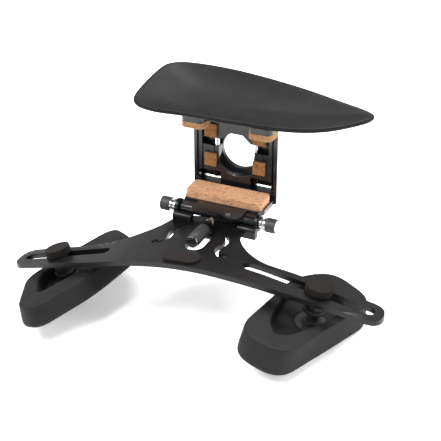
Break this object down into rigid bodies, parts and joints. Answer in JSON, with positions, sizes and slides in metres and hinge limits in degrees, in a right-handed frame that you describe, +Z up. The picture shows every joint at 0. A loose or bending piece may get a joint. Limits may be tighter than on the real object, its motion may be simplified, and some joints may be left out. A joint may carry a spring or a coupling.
{
  "type": "violin shoulder rest",
  "caption": "Violin shoulder rest: arched slotted arm with two soft pads, hinged to a corked end clamp that carries a dished chin plate.",
  "frame": {"origin": "centre of the seat cork's top face, where the violin's back rests", "axes": "+X to the player's right along the arms, +Y toward the player's neck, +Z up as the rest stands on its pads; the clamp leans 4.4 degrees from +Z toward +X"},
  "size_m": [0.1865, 0.1176, 0.1004],
  "materials": {
    "frame_black": "satin black",
    "seat_cork": "fine sanded cork",
    "rib_cork": "coarse cork",
    "foot_cork": "fine cork",
    "steel": "plain",
    "chin_grey": "satin dark grey",
    "arm_black": "fine matt black",
    "felt": "felt",
    "chrome": "polished",
    "grip_black": "matt sleeve",
    "foot_black": "satin black",
    "pad_rubber": "matt moulded foam rubber"
  },
  "bodies": {
    "clamp": {"clamp_frame": "frame_black", "seat_cork": "seat_cork", "rib_cork_lower_left": "rib_cork", "rib_cork_lower_right": "rib_cork", "hinge_cover": "frame_black", "cover_rivet": "steel", "hinge_shaft": "steel"},
    "chin_rest": {"chin_bracket": "frame_black", "chin_plate": "chin_grey", "chin_plate_screws": "steel", "foot_cork_left": "foot_cork", "foot_cork_right": "foot_cork", "rib_cork_upper_left": "rib_cork", "rib_cork_upper_right": "rib_cork"},
    "clamp_screw_left": {"clamp_screw_left": "steel"},
    "clamp_screw_right": {"clamp_screw_right": "steel"},
    "arms": {"arm_plate": "arm_black", "centre_felt": "felt"},
    "tilt_screw": {"tilt_screw_rod": "chrome", "tilt_screw_grip": "grip_black"},
    "thumb_screw_left": {"thumb_screw_core_left": "chrome", "thumb_screw_grip_left": "grip_black"},
    "thumb_screw_right": {"thumb_screw_core_right": "chrome", "thumb_screw_grip_right": "grip_black"},
    "left_slider": {"left_slot_bush": "foot_black", "left_height_ring": "foot_black"},
    "left_lock": {"left_lock_knob": "foot_black", "left_lock_felt": "felt"},
    "left_post": {"left_post": "foot_black"},
    "left_cushion": {"left_pad_plate": "foot_black", "left_pad": "pad_rubber"},
    "right_slider": {"right_slot_bush": "foot_black", "right_height_ring": "foot_black"},
    "right_lock": {"right_lock_knob": "foot_black", "right_lock_felt": "felt"},
    "right_post": {"right_post": "foot_black"},
    "right_cushion": {"right_pad_plate": "foot_black", "right_pad": "pad_rubber"}
  },
  "joints": [
    {"name": "clamp_travel", "type": "slide", "parent": "clamp", "child": "chin_rest", "axis": [0.0767, 0, 0.9971], "range_m": [-0.003, 0.008]},
    {"name": "clamp_screw_left_turn", "type": "hinge", "parent": "clamp", "child": "clamp_screw_left", "pos_m": [-0.01017, 0.0105, 0.00078], "axis": [0.0767, 0, 0.9971], "range_deg": [-1100, 2900]},
    {"name": "clamp_screw_right_turn", "type": "hinge", "parent": "clamp", "child": "clamp_screw_right", "pos_m": [0.01017, 0.0105, -0.00078], "axis": [0.0767, 0, 0.9971], "range_deg": [-1100, 2900]},
    {"name": "plate_tilt", "type": "hinge", "parent": "clamp", "child": "arms", "pos_m": [-0.00054, -0.0107, -0.00698], "axis": [0.9971, 0, -0.0767], "range_deg": [-10, 18]},
    {"name": "tilt_screw_turn", "type": "hinge", "parent": "arms", "child": "tilt_screw", "pos_m": [0, -0.03, -0.0068], "axis": [0, 1, 0], "range_deg": [-180, 180]},
    {"name": "thumb_screw_left_turn", "type": "hinge", "parent": "clamp", "child": "thumb_screw_left", "pos_m": [-0.00054, -0.0107, -0.00698], "axis": [0.9971, 0, -0.0767], "range_deg": [-180, 180]},
    {"name": "thumb_screw_right_turn", "type": "hinge", "parent": "clamp", "child": "thumb_screw_right", "pos_m": [-0.00054, -0.0107, -0.00698], "axis": [0.9971, 0, -0.0767], "range_deg": [-180, 180]},
    {"name": "left_slot_slide", "type": "slide", "parent": "arms", "child": "left_slider", "axis": [-0.9728, 0, -0.2317], "range_m": [-0.0245, 0.0145]},
    {"name": "left_lock_turn", "type": "hinge", "parent": "left_slider", "child": "left_lock", "pos_m": [-0.0705, -0.0451, -0.0222], "axis": [-0.2317, 0, 0.9728], "range_deg": [-180, 180]},
    {"name": "left_height", "type": "slide", "parent": "left_slider", "child": "left_post", "axis": [0.2317, 0, -0.9728], "range_m": [0, 0.0045]},
    {"name": "left_swivel", "type": "hinge", "parent": "left_post", "child": "left_cushion", "pos_m": [-0.0705, -0.0451, -0.0222], "axis": [-0.2317, 0, 0.9728], "range_deg": [-35, 35]},
    {"name": "right_slot_slide", "type": "slide", "parent": "arms", "child": "right_slider", "axis": [0.9728, 0, -0.2317], "range_m": [-0.0145, 0.021]},
    {"name": "right_lock_turn", "type": "hinge", "parent": "right_slider", "child": "right_lock", "pos_m": [0.0625, -0.0451, -0.0192], "axis": [0.2317, 0, 0.9728], "range_deg": [-180, 180]},
    {"name": "right_height", "type": "slide", "parent": "right_slider", "child": "right_post", "axis": [-0.2317, 0, -0.9728], "range_m": [-0.0038, 0]},
    {"name": "right_swivel", "type": "hinge", "parent": "right_post", "child": "right_cushion", "pos_m": [0.0625, -0.0451, -0.0192], "axis": [0.2317, 0, 0.9728], "range_deg": [-35, 35]}
  ],
  "couplings": [
    {"joint": "clamp_screw_left_turn", "follows": "clamp_travel", "rad_per_m": 6283.2},
    {"joint": "clamp_screw_right_turn", "follows": "clamp_travel", "rad_per_m": 6283.2}
  ]
}
